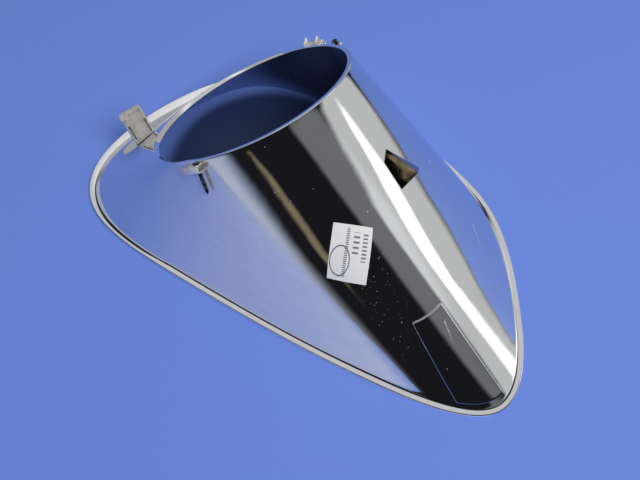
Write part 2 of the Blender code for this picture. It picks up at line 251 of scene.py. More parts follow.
GROUPS = {"cowl_shell": CowlShellSizes, "cowl_clips": CowlClipSizes, "cowl_screws": CowlScrewSizes,
          "cowl_skins": CowlSkinSizes, "cowl_finish": CowlFinish, "cowl_stage": CowlStage}


def values(group):
    return getattr(bpy.context.scene, group)


# --- the ruled wall ----------------------------------------------------------------------------------------

def foot_outline(place):
    """A point of the foot's outline and its outward direction; place counts control points round the foot."""
    count = len(OUTLINE)
    whole = math.floor(place)
    t = place - whole
    p0, p1, p2, p3 = (Vector((*OUTLINE[(whole + k - 1) % count], 0)) for k in range(4))
    point = (p0 * (1 - t) ** 3 + p1 * (3 * t**3 - 6 * t**2 + 4)
             + p2 * (3 * t + 3 * t**2 - 3 * t**3 + 1) + p3 * t**3) / 6
    along = (-p0 * (1 - t) ** 2 + p1 * (3 * t**2 - 4 * t) + p2 * (1 + 2 * t - 3 * t**2) + p3 * t**2) / 2
    return point, along.cross(UP).normalized()


def widening(place, span):
    """A swell between two places: 0 at its ends, 1 in the middle."""
    share = (place % len(OUTLINE) - span[0]) / (span[1] - span[0])
    return math.sin(math.pi * share) ** 2 if 0 < share < 1 else 0.0


def foot_point(place):
    """Where the wall stands on the flange."""
    sizes = values("cowl_shell")
    edge, outward = foot_outline(place)
    width = sizes.flange_width + (sizes.wide_flange - sizes.flange_width) * widening(place, WIDE_SPAN)
    return edge - width * outward + sizes.flange_thick * UP


def rim_point(angle):
    return MOUTH_CENTRE + MOUTH_RADIUS * (math.cos(angle) * MOUTH_U + math.sin(angle) * MOUTH_V)


def rim_angle(foot, outward):
    """Where a plane through the foot's tangent touches the rim: there the wall bulges out the least."""
    reach = (MOUTH_CENTRE - foot).dot(outward)
    height = MOUTH_CENTRE.z - foot.z
    reach_u, reach_v = MOUTH_RADIUS * MOUTH_U.dot(outward), MOUTH_RADIUS * MOUTH_V.dot(outward)
    height_u = MOUTH_RADIUS * MOUTH_U.z
    sine, cosine, level = reach * height_u - reach_u * height, reach_v * height, reach_v * height_u
    turn = math.atan2(cosine, sine)
    rise = math.asin(-level / math.hypot(sine, cosine))

    def lean(angle):
        across = reach + reach_u * math.cos(angle) + reach_v * math.sin(angle)
        return across / (height + height_u * math.cos(angle))

    return max(rise - turn, math.pi - rise - turn, key=lean)


class Station:
    """One straight line of the wall, from the foot to the rim, with what lies round it."""

    def __init__(self, place):
        self.edge, _ = foot_outline(place)
        self.foot = foot_point(place)
        self.width = (self.edge - self.foot).xy.length
        self.flare = widening(place, FLARE_SPAN) ** 0.5
        self.outward = (foot_point(place + 0.002) - foot_point(place - 0.002)).cross(UP).normalized()
        self.angle = rim_angle(self.foot, self.outward)
        self.rim = rim_point(self.angle)
        self.line = self.rim - self.foot
        self.normal = UP.cross(self.outward).cross(self.line).normalized()
        if self.normal.dot(self.outward) < 0:
            self.normal.negate()

    def nearest(self, point):
        """The share of the way up the line that is nearest to a point, and how far off it is."""
        share = (point - self.foot).dot(self.line) / self.line.length_squared
        return share, (self.foot + share * self.line - point).length

    def plan_gap(self, point):
        """The same as seen from above."""
        line, to_point = self.line.xy, (point - self.foot).xy
        share = to_point.dot(line) / line.length_squared
        return share, (share * line - to_point).length


class Wall:
    """Finds places on the wall from points near it or above it."""

    def __init__(self):
        tries = 12
        self.step = 1 / tries
        self.coarse = [(k * self.step, Station(k * self.step)) for k in range(len(OUTLINE) * tries)]

    def find(self, point, measure):
        """The best of the coarse stations, then its neighbourhood narrowed down by thirds."""
        place = min(self.coarse, key=lambda item: self.cost(item[1], point, measure))[0]
        low, high = place - self.step, place + self.step
        for _ in range(22):
            first, second = low + (high - low) / 3, high - (high - low) / 3
            if self.cost(Station(first), point, measure) < self.cost(Station(second), point, measure):
                high = second
            else:
                low = first
        station = Station((low + high) / 2)
        return (low + high) / 2, getattr(station, measure)(point)[0], station

    @staticmethod
    def cost(station, point, measure):
        share, gap = getattr(station, measure)(point)
        return gap if 0 <= share <= 1 else gap + 1

    def above(self, x, y):
        """Place round the foot, share up the line and station over a point of the plan."""
        return self.find(Vector((x, y, 0)), "plan_gap")

    def beside(self, point):
        """The same for a point near the wall."""
        return self.find(point, "nearest")

    def over(self, x, y, lift=0.0):
        """The wall's own point over a point of the plan."""
        _, share, station = self.above(x, y)
        return on_wall(station, share, lift)


def on_wall(station, share, lift=0.0):
    """A point at a share of the way up a station's line, lifted off the wall."""
    return station.foot + share * station.line + lift * station.normal


def placed(origin, x_axis, y_axis, z_axis):
    matrix = Matrix((x_axis, y_axis, z_axis)).transposed().to_4x4()
    matrix.translation = origin
    return matrix


def rim_frame(angle):
    """X along the rim, Y out from the wall, Z up the wall, with its origin on the rim."""
    steps = 16
    found = (Station(k / steps) for k in range(len(OUTLINE) * steps))
    out = min(found, key=lambda s: abs(math.remainder(s.angle - angle, math.tau))).normal
    up_wall = (MOUTH_AXIS - MOUTH_AXIS.dot(out) * out).normalized()
    return placed(rim_point(angle), out.cross(up_wall), out, up_wall)


# --- modelling by hand -------------------------------------------------------------------------------------

def fresh():
    """Object mode with nothing selected."""
    if bpy.context.mode != "OBJECT":
        bpy.ops.object.mode_set(mode="OBJECT")
    bpy.ops.object.select_all(action="DESELECT")


def pick(obj, *others):
    """Object mode with these objects selected and the first one active."""
    fresh()
    for item in (*others, obj):
        item.select_set(True)
    bpy.context.view_layer.objects.active = obj


def named(name):
    made = bpy.context.object
    made.name = made.data.name = name
    return made


def edit_all(obj):
    pick(obj)
    bpy.ops.object.mode_set(mode="EDIT")
    bpy.ops.mesh.select_all(action="SELECT")


def outward(obj):
    edit_all(obj)
    bpy.ops.mesh.remove_doubles(threshold=0.000002)
    bpy.ops.mesh.normals_make_consistent(inside=False)
    fresh()


def apply(obj, kind, **settings):
    """Adds a modifier and applies it."""
    pick(obj)
    modifier = obj.modifiers.new(kind.lower(), kind)
    for key, value in settings.items():
        setattr(modifier, key, value)
    bpy.ops.object.modifier_apply(modifier=modifier.name)


def cut(obj, tool):
    apply(obj, "BOOLEAN", operation="DIFFERENCE", object=tool, solver="EXACT")
    bpy.data.objects.remove(tool)


def join(obj, others):
    pick(obj, *others)
    bpy.ops.object.join()


def to_place(obj, matrix):
    """Sets the mesh in its place, with the object left at the origin."""
    obj.matrix_world = matrix @ obj.matrix_world
    pick(obj)
    bpy.ops.object.transform_apply(location=True, rotation=True, scale=True)


def blank(name):
    """A mesh with nothing in it yet."""
    fresh()
    bpy.ops.mesh.primitive_plane_add(size=1.0)
    made = named(name)
    edit_all(made)
    bpy.ops.mesh.delete(type="VERT")
    fresh()
    return made


def block(name, low, high):
    fresh()
    middle = [(a + b) / 2 for a, b in zip(low, high)]
    bpy.ops.mesh.primitive_cube_add(size=1.0, location=middle, scale=[b - a for a, b in zip(low, high)])
    made = named(name)
    bpy.ops.object.transform_apply(location=True, rotation=True, scale=True)
    return made


def ease(obj, width, segments=3, angle=30):
    """Rounds every sharp edge."""
    apply(obj, "BEVEL", width=width, segments=segments, limit_method="ANGLE", angle_limit=math.radians(angle),
          harden_normals=False, use_clamp_overlap=True)


def hand_over(obj, node, finish, smooth=35):
    """Smooths a finished piece, dresses it, and lets it stand for its CAD node."""
    pick(obj)
    bpy.ops.object.shade_smooth_by_angle(angle=math.radians(smooth))
    obj.data.materials.clear()
    obj.data.materials.append(finish)
    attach(obj, "root")
    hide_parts(node)


# --- node nets ---------------------------------------------------------------------------------------------

class Net:
    """Adds nodes to one tree and joins them: an input is a value, or the output of another node."""

    def __init__(self, tree):
        self.tree = tree

    def add(self, kind, inputs=(), **settings):
        node = self.tree.nodes.new(kind)
        for key, value in settings.items():
            setattr(node, key, value)
        for key, value in dict(inputs).items():
            self.feed(node.inputs[key], value)
        return node

    def feed(self, socket, value):
        if isinstance(value, bpy.types.NodeSocket):
            self.tree.links.new(value, socket)
        else:
            socket.default_value = value

    def math(self, operation, first, second=0.0, third=0.0, clamp=False):
        inputs = {0: first, 1: second, 2: third}
        return self.add("ShaderNodeMath", inputs, operation=operation, use_clamp=clamp).outputs[0]

    def vector(self, operation, first, second=(0, 0, 0)):
        node = self.add("ShaderNodeVectorMath", {0: first, 1: second}, operation=operation)
        return node.outputs["Value" if operation in ("DOT_PRODUCT", "LENGTH", "DISTANCE") else "Vector"]

    def span(self, value, low, high, to_low=0.0, to_high=1.0, smooth=True):
        inputs = {"Value": value, "From Min": low, "From Max": high, "To Min": to_low, "To Max": to_high}
        return self.add("ShaderNodeMapRange", inputs,
                        interpolation_type="SMOOTHSTEP" if smooth else "LINEAR").outputs["Result"]

    def axes(self, vector):
        return self.add("ShaderNodeSeparateXYZ", {"Vector": vector}).outputs

    def uv(self):
        return self.axes(self.add("ShaderNodeTexCoord").outputs["UV"])

    def shape(self):
        """The surface's own normal and how sharply it bends."""
        return self.add("ShaderNodeNewGeometry").outputs

    def stretched(self, where, scale):
        return self.add("ShaderNodeMapping", {"Vector": where, "Scale": scale}).outputs["Vector"]

    def noise(self, where, scale, detail=3.0, roughness=0.5):
        inputs = {"Vector": where, "Scale": scale, "Detail": detail, "Roughness": roughness}
        return self.add("ShaderNodeTexNoise", inputs).outputs["Fac"]

    def mix(self, share, first, second):
        node = self.add("ShaderNodeMix", data_type="RGBA")
        self.feed(node.inputs["Factor"], share)
        for key, value in (("A", first), ("B", second)):
            socket = next(s for s in node.inputs if s.name == key and s.type == "RGBA")
            self.feed(socket, (*value, 1.0) if isinstance(value, (tuple, list)) else value)
        return next(s for s in node.outputs if s.type == "RGBA")

    def group(self, name, **inputs):
        node = self.add("ShaderNodeGroup", node_tree=bpy.data.node_groups[name])
        for key, value in inputs.items():
            self.feed(node.inputs[key.replace("_", " ").capitalize()], value)
        return node


def new_group(name, inputs, outputs):
    """An empty shader node group; sockets are given as name: kind, with a default for a number."""
    tree = bpy.data.node_groups.new(name, "ShaderNodeTree")
    for direction, sockets in (("INPUT", inputs), ("OUTPUT", outputs)):
        for key, kind in sockets.items():
            tree.interface.new_socket(name=key, in_out=direction, socket_type=f"NodeSocket{kind}")
    net = Net(tree)
    return net, net.add("NodeGroupInput").outputs, net.add("NodeGroupOutput").inputs


def make_groups():
    """The effects that several finishes share."""
    net, given, out = new_group("dust specks", {"Where": "Vector", "Scale": "Float", "Amount": "Float"},
                                {"Mask": "Float"})
    cells = net.add("ShaderNodeTexVoronoi", {"Vector": given["Where"], "Scale": given["Scale"],
                                             "Randomness": 1.0}, feature="F1")
    chance = net.add("ShaderNodeSeparateColor", {"Color": cells.outputs["Color"]})
    size = net.math("MULTIPLY", chance.outputs["Red"], 0.16)
    dot = net.span(cells.outputs["Distance"], net.math("MULTIPLY", size, 0.6), size, 1.0, 0.0)
    kept = net.math("LESS_THAN", chance.outputs["Green"], given["Amount"])
    net.feed(out["Mask"], net.math("MULTIPLY", dot, kept))

    net, given, out = new_group("handling marks", {"Where": "Vector", "Scale": "Float"},
                                {"Mask": "Float", "Height": "Float"})
    broad = net.noise(given["Where"], given["Scale"], 4.0, 0.55)
    net.feed(out["Mask"], net.span(broad, 0.42, 0.70))
    net.feed(out["Height"], broad)

    net, given, out = new_group("scratch_and_highlight", {"Where": "Vector", "From": "Vector", "To": "Vector",
                                            "Width": "Float", "Breaks": "Float"}, {"Mask": "Float"})
    line = net.vector("SUBTRACT", given["To"], given["From"])
    reach = net.vector("SUBTRACT", given["Where"], given["From"])
    along = net.math("DIVIDE", net.vector("DOT_PRODUCT", reach, line), net.vector("DOT_PRODUCT", line, line),
                     clamp=True)
    scaled = net.add("ShaderNodeVectorMath", {0: line, "Scale": along}, operation="SCALE").outputs["Vector"]
    off = net.vector("DISTANCE", reach, scaled)
    taper = net.math("MULTIPLY", given["Width"], net.math("SUBTRACT", 1.15, along))
    edge = net.span(off, 0.0, taper, 1.0, 0.0)
    broken = net.math("GREATER_THAN", net.noise(given["Where"], 2600.0, 1.0), given["Breaks"])
    net.feed(out["Mask"], net.math("MULTIPLY", edge, broken))

    net, given, out = new_group("studio panel", {"Azimuth": "Float", "Elevation": "Float",
                                                 "Middle azimuth": "Float", "Middle elevation": "Float",
                                                 "Half width": "Float", "Half height": "Float",
                                                 "Softness": "Float"}, {"Mask": "Float"})
    turned = net.add("ShaderNodeMath", {0: net.math("SUBTRACT", given["Azimuth"], given["Middle azimuth"]),
                                        1: math.pi, 2: -math.pi}, operation="WRAP").outputs[0]
    across = net.math("SUBTRACT", net.math("ABSOLUTE", turned), given["Half width"])
    raised = net.math("SUBTRACT", given["Elevation"], given["Middle elevation"])
    lift = net.math("SUBTRACT", net.math("ABSOLUTE", raised), given["Half height"])
    soft = given["Softness"]
    fall = [net.span(value, net.math("MULTIPLY", soft, -1.0), soft, 1.0, 0.0) for value in (across, lift)]
    net.feed(out["Mask"], net.math("MULTIPLY", *fall))


def new_material(name):
    made = bpy.data.materials.new(name)
    made.use_nodes = True
    net = Net(made.node_tree)
    shader = made.node_tree.nodes["Principled BSDF"]
    where = net.add("ShaderNodeTexCoord").outputs["Object"]
    return made, net, shader, where


def bump(net, shader, height, strength, distance):
    node = net.add("ShaderNodeBump", {"Height": height, "Strength": strength, "Distance": distance})
    net.feed(shader.inputs["Normal"], node.outputs["Normal"])


def reflection_paint_mask(net, where):
    """A painted reflection: pale colour on the near side's flat wall, stronger towards the nose."""
    facing = net.axes(net.shape()["Normal"])
    steep = net.span(facing["Z"], 0.50, 0.60, 1.0, 0.0)
    near_side = net.span(facing["Y"], -0.60, -0.40, 1.0, 0.0)
    along = net.axes(where)["X"]
    # How strong the painted reflection is: growing towards the nose
    thick = net.math("MULTIPLY", net.span(along, -0.085, 0.010, 0.0, 0.46),
                     net.span(along, 0.01, 0.11, 1.0, 1.5))
    streaks = net.noise(net.stretched(where, (1.0, 1.0, 5.0)), 70.0, 4.0, 0.6)
    uneven = net.span(streaks, 0.2, 0.8, 0.93, 1.07)
    flat = net.math("MULTIPLY", steep, near_side)
    return net.math("MULTIPLY", net.math("MULTIPLY", flat, thick), uneven, clamp=True)


def scratched_and_highlit(net, where, dust, marks):
    """Adds scratches and painted edge highlights to the dust: each with ends, a width and the share of it
    broken up.
    """
    for start, end, width, breaks in marks:
        line = net.group("scratch_and_highlight", where=where, width=width, breaks=breaks)
        line.inputs["From"].default_value = start
        line.inputs["To"].default_value = end
        dust = net.math("MAXIMUM", dust, line.outputs[0])
    return dust


def chrome_finish(name, ripple, marks=(), shell=False):
    """Mirror plate: slight waviness, dust, dull patches, long scratches and, on the nose, painted edge
    highlights.

    The shell's chrome is also thin and dull on the inside, with a darker blue tint there that is partly
    painted shade, dusty along one stretch, and has a pale painted reflection on its near side.
    """
    colours = values("cowl_finish")
    made, net, shader, where = new_material(name)
    handled = net.group("handling marks", where=where, scale=38.0).outputs["Mask"]
    fine = net.group("dust specks", where=where, scale=420.0, amount=0.16 * colours.dust)
    coarse = net.group("dust specks", where=where, scale=150.0, amount=0.10 * colours.dust)
    dust = net.math("MAXIMUM", fine.outputs[0], coarse.outputs[0])
    if shell:
        field = scratched_and_highlit(net, where, 0.0, [(*DUSTY_STRETCH, DUSTY_WIDTH, -1.0)])
        grains = net.group("dust specks", where=where, scale=780.0, amount=1.0)
        dust = net.math("MAXIMUM", dust, net.math("MULTIPLY", grains.outputs[0], field))
    # On the nose plate these lines include painted highlights along its edges
    dust = scratched_and_highlit(net, where, dust, marks)
    dull = net.math("MAXIMUM", net.math("MULTIPLY", handled, 0.35), dust)
    plate = net.mix(dull, tuple(colours.chrome), tuple(colours.chrome_dull))
    rough = net.math("MULTIPLY_ADD", handled, 0.035, 0.035)
    metal = net.math("MULTIPLY_ADD", dust, -0.5, 1.0)
    if shell:
        # The inner face: darker, bluer and rougher, partly thin plating and partly painted shade
        low, high = INSIDE
        within = net.math("COMPARE", net.uv()["Y"], (low + high) / 2, (high - low) / 2)
        # Painted reflection on the near wall: pale colour, less metal and more roughness there
        pale_painted_reflection = reflection_paint_mask(net, where)
        plate = net.mix(pale_painted_reflection, net.mix(within, plate, tuple(colours.inside_plating_and_shade)), tuple(colours.pale_painted_reflection))
        rough = net.math("MULTIPLY_ADD", net.math("MAXIMUM", within, pale_painted_reflection), 0.16, rough)
        metal = net.math("MULTIPLY", metal, net.math("SUBTRACT", 1.0, pale_painted_reflection))
    net.feed(shader.inputs["Base Color"], plate)
    net.feed(shader.inputs["Roughness"], net.math("MULTIPLY_ADD", dust, 0.45, rough))
    net.feed(shader.inputs["Metallic"], metal)
    wave = net.math("MULTIPLY_ADD", net.noise(where, 95.0, 2.0), 0.10, net.noise(where, 24.0, 1.0))
    bump(net, shader, net.math("MULTIPLY_ADD", dust, 0.05, wave), 1.0, ripple)
    return made


def catch_finish():
    """Chrome on the catch's end and edges as painted highlight, its other faces near-black as painted shade,
    with dark brownish colour on its sloping faces, partly stains and partly painted reflection.
    """
    colours = values("cowl_finish")
    made, net, shader, where = new_material("chrome catch")
    facing = net.axes(net.shape()["Normal"])
    # Painted highlight: chrome kept only on the end facing +X and on the edges
    bright = net.math("MAXIMUM", net.span(facing["X"], 0.62, 0.72),
                      net.span(net.shape()["Pointiness"], 0.56, 0.62))
    stain = net.group("handling marks", where=where, scale=90.0)
    # Brownish where the faces turn one way and the stain mask falls, partly stain and partly painted
    # reflection; the rest is painted shade
    browned_by_stain_and_reflection = net.math("MULTIPLY", net.span(facing["Y"], -0.25, 0.05), stain.outputs["Mask"])
    stained = net.mix(browned_by_stain_and_reflection, tuple(colours.catch_painted_shade), tuple(colours.catch_brown_stain_and_reflection))
    net.feed(shader.inputs["Base Color"], net.mix(bright, stained, tuple(colours.chrome)))
    net.feed(shader.inputs["Roughness"], net.math("MULTIPLY_ADD", bright, 0.20, 0.10))
    shader.inputs["Metallic"].default_value = 1.0
    bump(net, shader, stain.outputs["Height"], 1.0, 0.0002)
    return made


def spring_finish():
    """Bright rolled strip: fine lines along it, with dull stains."""
    colours = values("cowl_finish")
    made, net, shader, where = new_material("spring steel")
    lines = net.noise(net.stretched(where, (1.0, 1.0, 0.06)), 5200.0, 2.0)
    stain = net.group("handling marks", where=where, scale=260.0)
    net.feed(shader.inputs["Base Color"], net.mix(net.math("MULTIPLY", stain.outputs["Mask"], 0.6),
                                                  tuple(colours.spring), tuple(colours.spring_dull)))
    net.feed(shader.inputs["Roughness"], net.math("MULTIPLY_ADD", stain.outputs["Mask"], 0.16,
                                                  net.math("MULTIPLY_ADD", lines, 0.10, 0.26)))
    shader.inputs["Metallic"].default_value = 0.62
    bump(net, shader, lines, 0.12, 0.0001)
    return made


def dark_finish():
    """Blackened steel, rubbed bright on its raised edges."""
    colours = values("cowl_finish")
    made, net, shader, where = new_material("dark steel")
    rubbed = net.math("MULTIPLY", net.span(net.shape()["Pointiness"], 0.53, 0.60),
                      net.span(net.noise(where, 900.0, 3.0), 0.35, 0.60))
    net.feed(shader.inputs["Base Color"], net.mix(rubbed, tuple(colours.dark), tuple(colours.worn)))
    net.feed(shader.inputs["Roughness"], net.math("MULTIPLY_ADD", net.noise(where, 1400.0, 2.0), 0.25, 0.22))
    shader.inputs["Metallic"].default_value = 1.0
    bump(net, shader, net.noise(where, 2600.0, 3.0), 0.25, 0.00006)
    return made


def paper_finish():
    """Matt label paper with plain printed bars and a pen loop, laid out on the label's own map."""
    colours = values("cowl_finish")
    made, net, shader, where = new_material("label paper")
    down, across = net.uv()["X"], net.uv()["Y"]
    ink = 0.0
    for middle, half, spacing, fill, first, last in LABEL_ROWS:
        row = net.math("COMPARE", across, middle, half)
        ticks = net.math("LESS_THAN", net.math("FRACT", net.math("MULTIPLY", down, spacing)), fill)
        inside = net.math("COMPARE", down, (first + last) / 2, (last - first) / 2)
        bars = net.math("MULTIPLY", net.math("MULTIPLY", row, ticks), inside)
        ink = net.math("MAXIMUM", ink, bars)
    wobble = net.math("MULTIPLY_ADD", net.noise(where, 240.0, 1.0), 0.12, -0.06)
    squares = [net.math("POWER", net.math("DIVIDE", net.math("SUBTRACT", value, middle), reach), 2.0)
               for value, middle, reach in zip((down, across), LOOP_MIDDLE, LOOP_REACH)]
    radius = net.math("SQRT", net.math("ADD", *squares))
    loop = net.math("COMPARE", net.math("ADD", radius, wobble), 1.0, 0.055)
    ink = net.math("MAXIMUM", net.math("MULTIPLY", ink, 0.86), net.math("MULTIPLY", loop, 0.92))
    fibre = net.noise(where, 3200.0, 4.0, 0.7)
    tinted = net.mix(net.math("MULTIPLY", fibre, 0.25), tuple(colours.paper), tuple(colours.paper_fibre))
    net.feed(shader.inputs["Base Color"], net.mix(ink, tinted, tuple(colours.ink)))
    net.feed(shader.inputs["Roughness"], net.math("MULTIPLY_ADD", fibre, 0.2, 0.55))
    bump(net, shader, fibre, 0.2, 0.00005)
    return made


def floor_finish():
    """A plain floor, with painted shade where it shows through the open foot below the mouth."""
    stage = values("cowl_stage")
    made, net, shader, where = new_material("plain floor")
    tone = net.noise(where, 3.0, 2.0)
    bright, even, dark = (tuple(share * c for c in stage.floor) for share in (1.0, 0.94, 0.02))
    # Painted shade: the floor's colour goes almost black within a disc below the mouth
    shade = net.span(net.vector("DISTANCE", where, SHADE_AT), stage.shade_inner, stage.shade_outer,
                     stage.shade, 0.0)
    net.feed(shader.inputs["Base Color"], net.mix(shade, net.mix(tone, bright, even), dark))
    net.feed(shader.inputs["Roughness"], net.math("MULTIPLY_ADD", net.noise(where, 900.0, 3.0), 0.1, 0.55))
    return made


# --- pieces ------------------------------------------------------------------------------------------------

def softened(corners, steps):
    """A closed section with each corner drawn out into a smooth turn, by its reach before it and after it."""
    points = []
    count = len(corners)
    for i, (corner, reach_before, reach_after) in enumerate(corners):
        before = (corners[i - 1][0] - corner).normalized() * reach_before + corner
        after = (corners[(i + 1) % count][0] - corner).normalized() * reach_after + corner
        for k in range(steps + 1):
            t = k / steps
            points.append((1 - t) ** 2 * before + 2 * t * (1 - t) * corner + t * t * after)
    return points


def shell_section(station):
    """The wall and flange cut across at one station, from the underside round the outside to the inside."""
    sizes = values("cowl_shell")
    along = station.line.normalized()
    inner = -sizes.wall * station.normal
    low = station.foot + inner
    low = low - along * (low.z / along.z)
    past = (MOUTH_CENTRE - station.rim - inner).dot(MOUTH_AXIS) / along.dot(MOUTH_AXIS)
    limit = math.sqrt(sizes.rim_width**2 - sizes.wall**2)
    inner_rim = station.rim + inner + max(-limit, min(limit, past)) * along
    edge_top = station.edge + sizes.flange_thick * UP
    soft = sizes.edge_round
    fillet = sizes.fillet + (sizes.flare_out * station.width - sizes.fillet) * station.flare
    up_wall = sizes.fillet + (sizes.flare * station.line.length - sizes.fillet) * station.flare
    corners = [(station.edge, soft, soft), (edge_top, soft, soft), (station.foot, fillet, up_wall),
               (station.rim, soft, soft), (inner_rim, 0.8 * soft, 0.8 * soft), (low, soft, soft)]
    points = softened(corners, TURN_STEPS)
    wall_start = 3 * (TURN_STEPS + 1)
    support = sizes.support
    outer_rows = [points[wall_start - 1] + support * along, points[wall_start] - support * along]
    inner_start = wall_start + len(outer_rows) + 2 * (TURN_STEPS + 1)
    points[wall_start:wall_start] = outer_rows
    points[inner_start:inner_start] = [points[inner_start - 1] - support * along,
                                       points[inner_start] + support * along]
    return points


def make_shell(finish):
    """The scoop: a grid wrapped round the foot one way and round the wall's section the other way."""
    sizes = values("cowl_shell")
    total = len(OUTLINE) * sizes.stations
    sections = [shell_section(Station(k / sizes.stations)) for k in range(total)]
    around = len(sections[0])
    fresh()
    bpy.ops.mesh.primitive_grid_add(x_subdivisions=total, y_subdivisions=around)
    shell = named("fine_shell")
    places = [sections[x % total][y % around] for y in range(around + 1) for x in range(total + 1)]
    shell.data.vertices.foreach_set("co", np.array(places, np.float32).ravel())
    shell.data.update()
    outward(shell)
    lugs = []
    for name, angle, (start, end), along in (("near", NEAR_LUG, NEAR_SPAN, NEAR_SCREW_ALONG),
                                             ("far", FAR_LUG, FAR_SPAN, None),
                                             ("screw", SCREW_LUG, SCREW_SPAN, 0.0)):
        lug = block(f"{name}_lug", (start, -sizes.wall / 2, -LUG_TOP - LUG_THICK), (end, LUG_OUT, -LUG_TOP))
        if along is not None:
            cut(lug, screw_hole(along))
        ease(lug, 0.00025)
        to_place(lug, rim_frame(angle))
        lugs.append(lug)
    join(shell, lugs)
    hand_over(shell, "cowl_shell", finish, 60)


def screw_hole(along):
    """The tool that cuts a screw's hole."""
    screws = values("cowl_screws")
    fresh()
    bpy.ops.mesh.primitive_cylinder_add(vertices=32, radius=screws.hole, depth=0.03,
                                        location=(along, screws.out, 0))
    return named("hole")


def strip_sheet(name, path, span, thick):
    """A sheet folded along a path across X, then given its thickness about the path."""
    made = blank(name)
    made.data.from_pydata([(x, y, z) for y, z in path for x in span], [],
                          [(2 * i, 2 * i + 1, 2 * i + 3, 2 * i + 2) for i in range(len(path) - 1)])
    apply(made, "SOLIDIFY", thickness=thick, offset=0.0, use_even_offset=True)
    return made


def bent(points, reach, steps=4):
    """An open path with each inner corner drawn out into a bend."""
    out = [points[0]]
    for before, corner, after in zip(points, points[1:], points[2:]):
        corner = Vector(corner)
        first = corner + (Vector(before) - corner).normalized() * reach
        last = corner + (Vector(after) - corner).normalized() * reach
        for k in range(steps + 1):
            t = k / steps
            out.append(tuple((1 - t) ** 2 * first + 2 * t * (1 - t) * corner + t * t * last))
    return out + [points[-1]]


def make_ear(at, low):
    """An upright ear whose top slopes up outwards."""
    sizes = values("cowl_clips")
    half = sizes.strip / 2
    ear = block("ear", (at - half, FAR_EAR_IN, low), (at + half, FAR_EAR_OUT, FAR_EAR_RISE))
    for vertex in ear.data.vertices:
        if vertex.co.z > low + GAP and vertex.co.y < FAR_EAR_IN + GAP:
            vertex.co.yz = FAR_EAR_SLOPE_START
    ease(ear, sizes.edge, 2)
    return ear


def make_rim_clip(name, node, angle, span, along, finish):
    """A strip folded over its lug; the far one also has two upright ears."""
    sizes = values("cowl_clips")
    strip = sizes.strip
    top = -LUG_TOP + GAP + strip / 2
    bottom = -LUG_TOP - LUG_THICK - GAP - strip / 2
    fold = LUG_OUT + GAP + strip / 2
    start = GAP + sizes.end_gap
    path = bent([(start, top), (fold, top), (fold, bottom), (start, bottom)], sizes.bend)
    clip = strip_sheet(name, path, span, strip)
    if along is not None:
        cut(clip, screw_hole(along))
    ease(clip, sizes.edge, 2)
    if node == "far_clip":
        join(clip, [make_ear(at, top) for at in FAR_EAR_ALONG])
    to_place(clip, rim_frame(angle))
    hand_over(clip, node, finish)


def make_screw(name, node, angle, along, finish):
    """A threaded shaft with a domed, cross-cut head."""
    sizes = values("cowl_screws")
    head_low = -LUG_TOP + 2 * GAP + values("cowl_clips").strip
    tip = -sizes.shaft
    dome = [(1.0, 0.25), (0.93, 0.6), (0.68, 0.88), (0.3, 1.0), (0.0, 0.97)]
    rings = [(head_low + high * sizes.head_height, wide * sizes.head) for high, wide in dome]
    rings += [(head_low, sizes.core), (tip + 1.6 * sizes.core, sizes.core), (tip, 0.2 * sizes.core)]
    fresh()
    bpy.ops.mesh.primitive_circle_add(vertices=40, radius=rings[0][1], fill_type="NGON",
                                      location=(0, 0, rings[0][0]))
    screw = named(name)
    edit_all(screw)
    for (height, radius), (above, wide) in zip(rings[1:], rings):
        bpy.ops.mesh.extrude_region_move(TRANSFORM_OT_translate={"value": (0, 0, height - above)})
        bpy.ops.transform.resize(value=(radius / wide, radius / wide, 1.0), center_override=(0, 0, height))
    fresh()
    outward(screw)
    for turn in (0, 90):
        long, half = 0.62 * sizes.head, sizes.slot / 2
        slot = block("slot", (-long, -half, head_low + 0.55 * sizes.head_height),
                     (long, half, head_low + 2 * sizes.head_height))
        slot.matrix_world = Matrix.Rotation(math.radians(turn), 4, "Z")
        cut(screw, slot)
    ease(screw, 0.00008, 2, 50)
    threaded = head_low - sizes.plain_neck - tip - 2.2 * sizes.core
    fresh()
    bpy.ops.mesh.primitive_circle_add(vertices=4, radius=sizes.pitch * 0.36)
    thread = named("thread")
    flat = Matrix.Rotation(math.radians(90), 4, "X")
    to_place(thread, Matrix.Translation((sizes.core, 0, tip + 1.8 * sizes.core)) @ flat)
    for vertex in thread.data.vertices:
        vertex.co.x = min(vertex.co.x, sizes.crest)
    apply(thread, "SCREW", screw_offset=sizes.pitch, iterations=int(threaded / sizes.pitch), steps=24,
          render_steps=24, use_normal_calculate=True)
    edit_all(thread)
    bpy.ops.mesh.select_all(action="DESELECT")
    bpy.ops.mesh.select_mode(type="EDGE")
    bpy.ops.mesh.select_non_manifold()
    bpy.ops.mesh.edge_face_add()
    fresh()
    outward(thread)
    join(screw, [thread])
    to_place(screw, rim_frame(angle) @ Matrix.Translation((along, sizes.out, 0)))
    hand_over(screw, node, finish)


def round_off(obj, width, segments):
    """Rounds all of a block's edges, as folded strip has them."""
    edit_all(obj)
    bpy.ops.mesh.bevel(offset=width, segments=segments, affect="EDGES")
    fresh()


